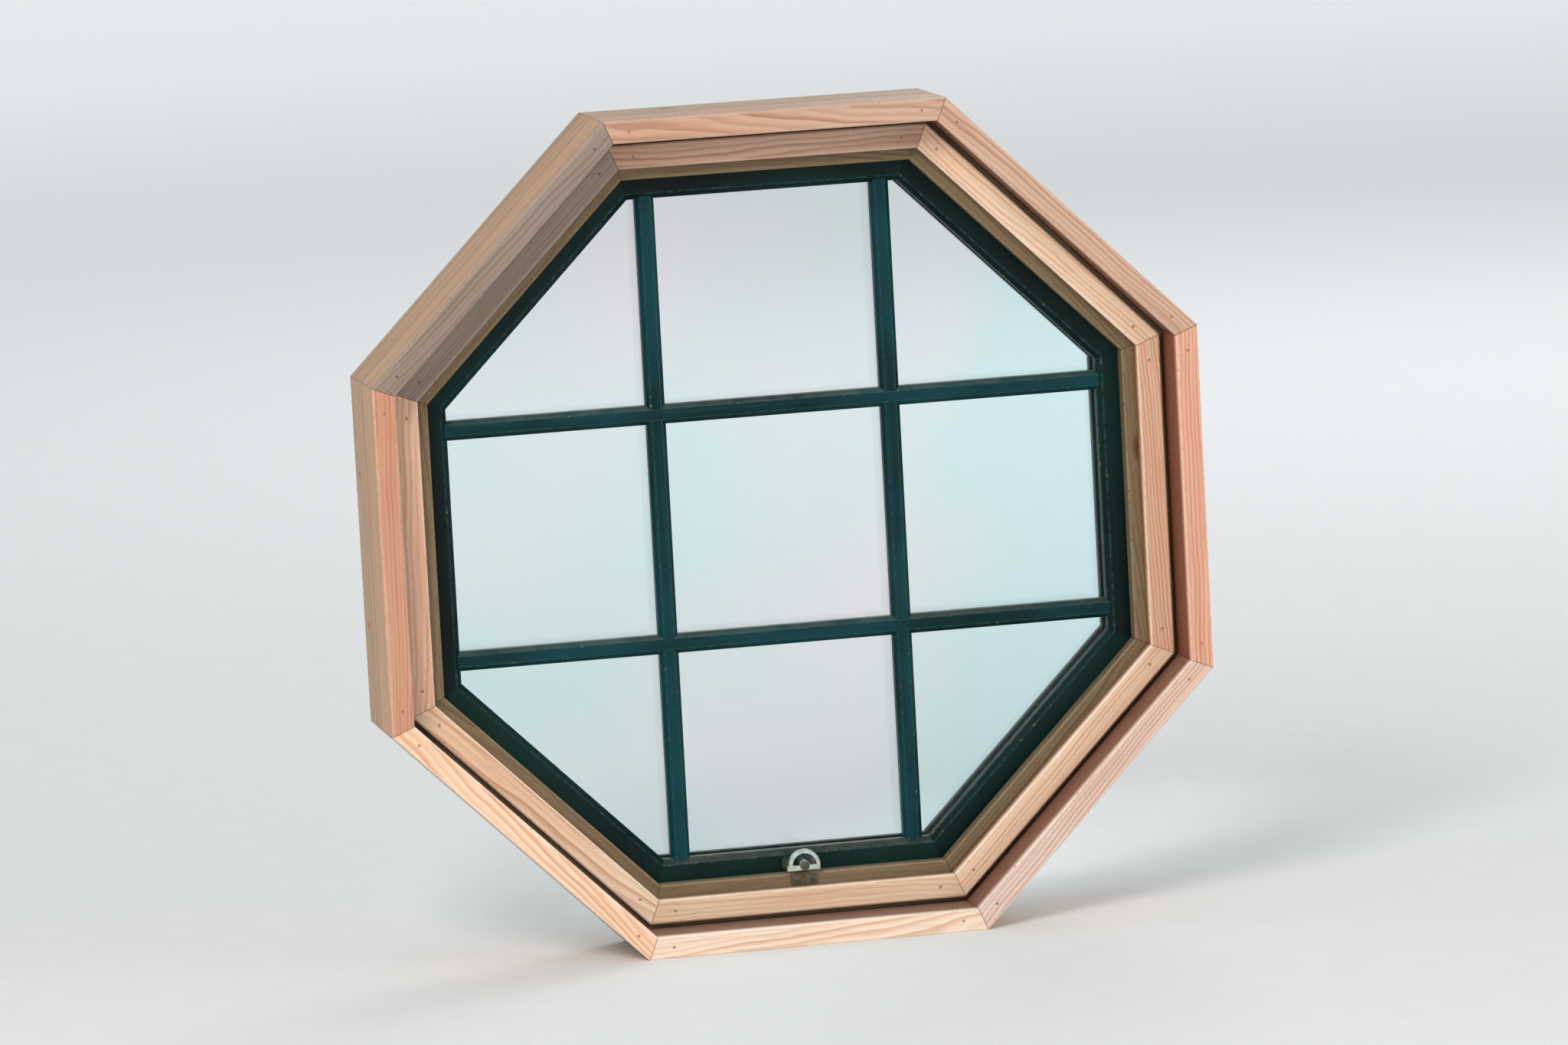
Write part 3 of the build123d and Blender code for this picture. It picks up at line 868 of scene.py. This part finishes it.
def studio():
    """Round floor that curves up into a wall, so that every side has the same plain backdrop."""
    profile = studio_profile()
    points = [(0, 0, 0)]
    for reach, z in profile:
        for spoke in range(SPOKES):
            turn = 2 * math.pi * spoke / SPOKES
            points.append((reach * math.cos(turn), reach * math.sin(turn), z))
    faces = []
    for spoke in range(SPOKES):
        after = (spoke + 1) % SPOKES
        faces.append((0, 1 + spoke, 1 + after))
        for ring in range(len(profile) - 1):
            inner, outer = 1 + ring * SPOKES, 1 + (ring + 1) * SPOKES
            faces.append((inner + spoke, outer + spoke, outer + after, inner + after))
    mesh = bpy.data.meshes.new("studio_bowl")
    mesh.from_pydata(points, [], faces)
    for face in mesh.polygons:
        face.use_smooth = True
    mesh.materials.append(studio_material())
    bowl = bpy.data.objects.new("studio_bowl", mesh)
    bpy.context.scene.collection.objects.link(bowl)


def area_light(name, place, size, watts, colour):
    """Square soft light aimed at the window's centre."""
    data = bpy.data.lights.new(name, "AREA")
    data.shape = "SQUARE"
    data.size = size
    data.energy = watts
    data.color = colour
    light = bpy.data.objects.new(name, data)
    light.location = place
    aim = Vector((0, 0, CENTRE)) - Vector(place)
    light.rotation_euler = aim.to_track_quat("-Z", "Y").to_euler()
    bpy.context.scene.collection.objects.link(light)


def lights():
    """The lamps, and an even light from all round."""
    for name, (place, size, watts, colour) in LAMPS.items():
        area_light(name, place, size, watts, colour)
    world = bpy.data.worlds.new("studio_air")
    world.use_nodes = True
    background = world.node_tree.nodes["Background"]
    background.inputs["Color"].default_value = AIR_COLOUR
    background.inputs["Strength"].default_value = AIR_STRENGTH
    bpy.context.scene.world = world


def camera():
    """Camera at the photograph's angle, with the window filling most of the picture."""
    back = Vector((
        -math.sin(VIEW_LEFT) * math.cos(VIEW_ABOVE),
        -math.cos(VIEW_LEFT) * math.cos(VIEW_ABOVE),
        math.sin(VIEW_ABOVE),
    ))
    data = bpy.data.cameras.new("view")
    data.sensor_width = SENSOR
    data.lens = SENSOR * VIEW_DISTANCE / (VIEW_HEIGHT * IMAGE_WIDE / IMAGE_HIGH)
    eye = bpy.data.objects.new("view", data)
    place = Matrix.Translation(Vector((0, 0, CENTRE)) + back * VIEW_DISTANCE)
    facing = back.to_track_quat("Z", "Y").to_matrix() @ Matrix.Rotation(-VIEW_ROLL, 3, "Z")
    eye.matrix_world = place @ facing.to_4x4()
    bpy.context.scene.collection.objects.link(eye)
    bpy.context.scene.camera = eye


bpy.context.scene.view_settings.view_transform = "Standard"
camera()
studio()
lights()
dress_rings()
dress_bars()
dress_fittings()
